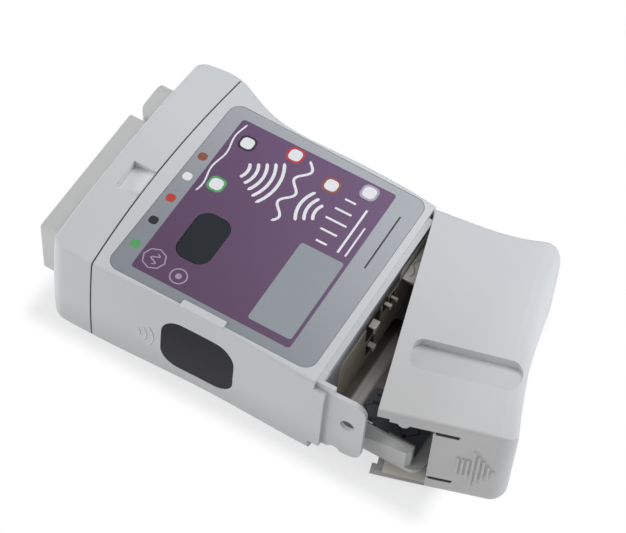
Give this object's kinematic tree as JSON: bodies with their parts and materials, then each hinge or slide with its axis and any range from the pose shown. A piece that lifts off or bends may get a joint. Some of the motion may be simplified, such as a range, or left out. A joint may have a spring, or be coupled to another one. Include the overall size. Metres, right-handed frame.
{
  "type": "ecg telemetry transmitter",
  "caption": "Hand-held patient monitor transmitter: waisted grey case with a lead block at one end, a printed front label, a call button and a hinged battery door standing open.",
  "frame": {"origin": "centre line of the label on the flat rear face, which the transmitter lies on", "axes": "+X towards the battery door, +Y towards the hinge side, +Z out of the labelled front"},
  "size_m": [0.1445, 0.0809, 0.0353],
  "materials": {
    "case_plastic": "fine matte moulded plastic",
    "tray_plastic": "satin light grey plastic",
    "liner_plastic": "matte dark plastic",
    "retainer_plastic": "matte warm light plastic",
    "label_film": "satin printed film",
    "button_plastic": "satin dark plastic",
    "window_plastic": "gloss dark infrared filter",
    "seal_rubber": "matte dark rubber",
    "socket_plastic": "satin light grey plastic",
    "board_laminate": "green solder mask",
    "black_plastic": "matte black plastic",
    "steel": "bright steel",
    "nickel": "nickel plated spring metal",
    "brass": "brass",
    "gold": "gold plated pins"
  },
  "bodies": {
    "case": {"main_housing": "case_plastic", "rear_cover": "case_plastic", "end_cap_gasket": "seal_rubber", "connector_end_cap": "case_plastic", "ecg_receptacle": "socket_plastic", "ecg_contact_pins": "gold", "spo2_receptacle": "socket_plastic", "spo2_contact_pins": "gold", "front_label": "label_film", "button_switch": "black_plastic", "infrared_window": "window_plastic", "infrared_emitter": "black_plastic", "main_circuit_board": "board_laminate", "board_screws": "steel", "rf_shield_can": "nickel", "connector_board": "board_laminate", "board_header": "black_plastic", "bay_liner": "liner_plastic", "battery_tray": "tray_plastic", "cell_retainer": "retainer_plastic", "battery_leaf_springs": "nickel", "battery_contact_plates": "nickel", "bay_contact_tabs": "tray_plastic", "hinge_pin": "steel", "case_screws": "steel", "cap_screws": "steel", "threaded_inserts": "brass"},
    "battery_door": {"battery_door": "case_plastic"},
    "patient_button": {"patient_button": "button_plastic"}
  },
  "joints": [
    {"name": "battery_door_hinge", "type": "hinge", "parent": "case", "child": "battery_door", "pos_m": [0.03, 0.0317, 0], "axis": [0, 0, 1], "range_deg": [-15.5, 60]},
    {"name": "patient_button_press", "type": "slide", "parent": "case", "child": "patient_button", "axis": [0, 0, -1], "range_m": [0, 0.0007], "stiffness_N_per_m": 1500, "springref_m": -0.0012}
  ]
}
